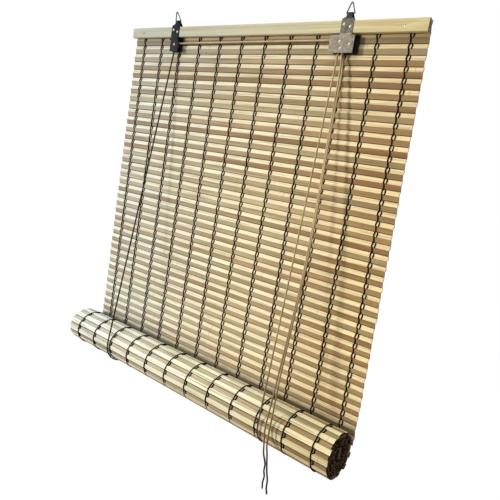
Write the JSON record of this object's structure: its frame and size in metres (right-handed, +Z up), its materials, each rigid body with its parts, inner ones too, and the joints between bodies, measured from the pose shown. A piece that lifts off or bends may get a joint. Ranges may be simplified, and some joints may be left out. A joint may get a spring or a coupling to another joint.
{
  "type": "bamboo roll up blind",
  "caption": "Roll-up window blind of light and brown bamboo slats on dark warps, part way down, with a wooden head rail, two ring hangers, a cord pulley and a cord lock.",
  "frame": {"origin": "midway between the two hangers, on the hinge line of the two rings that the blind hangs by", "axes": "+X along the head rail to the viewer's right, +Y away from the viewer to the window, +Z up"},
  "size_m": [0.608, 0.0751, 0.6762],
  "materials": {
    "pale_wood": "bare, planed",
    "bamboo": "bare bamboo, light and brown slats by turns",
    "dark_steel": "dark wire",
    "gunmetal_sheet": "dark plated sheet",
    "bronzed_sheet": "bronzed sheet, mottled",
    "rivet_steel": "bright",
    "roller_brass": "plain",
    "cam_steel": "plain",
    "warp_thread": "spun thread",
    "cord": "braided"
  },
  "bodies": {
    "head": {"head_rail": "pale_wood", "rail_nails": "dark_steel", "left_hanger": "gunmetal_sheet", "pulley_rear_plate": "gunmetal_sheet", "right_hanger": "bronzed_sheet", "lock_rear_plate": "bronzed_sheet", "left_strap_rivets": "rivet_steel", "right_strap_rivets": "rivet_steel", "pulley_rivet": "rivet_steel", "lock_rivets": "rivet_steel", "hanging_mat": "bamboo", "mat_warps": "warp_thread", "left_lift_cord": "cord", "left_rear_cord": "cord", "cross_cord": "cord", "right_lift_cord": "cord", "right_rear_cord": "cord", "lock_cord": "cord", "left_pull_cord": "cord", "right_pull_cord": "cord"},
    "left_ring": {"left_hanging_ring": "dark_steel"},
    "right_ring": {"right_hanging_ring": "dark_steel"},
    "sheave": {"pulley_sheave": "roller_brass"},
    "lock_roller": {"lock_roller": "roller_brass"},
    "guide_roller": {"guide_roller": "roller_brass"},
    "cam": {"lock_cam": "cam_steel"},
    "cord_bights": {"left_cord_bight": "cord", "right_cord_bight": "cord"},
    "roll": {"bamboo_roll": "bamboo", "roll_warps": "warp_thread", "bottom_batten": "pale_wood"}
  },
  "joints": [
    {"name": "left_ring_swing", "type": "hinge", "parent": "head", "child": "left_ring", "pos_m": [-0.18, 0, 0], "axis": [1, 0, 0], "range_deg": [-110, 70]},
    {"name": "right_ring_swing", "type": "hinge", "parent": "head", "child": "right_ring", "pos_m": [0.18, 0, 0], "axis": [1, 0, 0], "range_deg": [-90, 90]},
    {"name": "pulley_spin", "type": "hinge", "parent": "head", "child": "sheave", "pos_m": [-0.176, -0.0011, -0.041], "axis": [0, 1, 0], "continuous": true},
    {"name": "lock_roller_spin", "type": "hinge", "parent": "head", "child": "lock_roller", "pos_m": [0.1735, -0.0011, -0.0393], "axis": [0, 1, 0], "continuous": true},
    {"name": "guide_roller_spin", "type": "hinge", "parent": "head", "child": "guide_roller", "pos_m": [0.1755, -0.0011, -0.0488], "axis": [0, 1, 0], "continuous": true},
    {"name": "cam_swing", "type": "hinge", "parent": "head", "child": "cam", "pos_m": [0.19, -0.0011, -0.0433], "axis": [0, 1, 0], "range_deg": [0, 40]},
    {"name": "roll_lift", "type": "slide", "parent": "head", "child": "cord_bights", "axis": [0, 0, 1], "range_m": [0, 0.48], "deforming": ["hanging_mat", "mat_warps", "left_lift_cord", "right_lift_cord", "left_rear_cord", "right_rear_cord", "left_pull_cord", "right_pull_cord"]},
    {"name": "roll_turn", "type": "hinge", "parent": "cord_bights", "child": "roll", "pos_m": [0, -0.02414, -0.5788], "axis": [-1, 0, 0], "range_deg": [0, 830]}
  ],
  "couplings": [
    {"joint": "roll_turn", "follows": "roll_lift", "rad_per_m": 30}
  ]
}
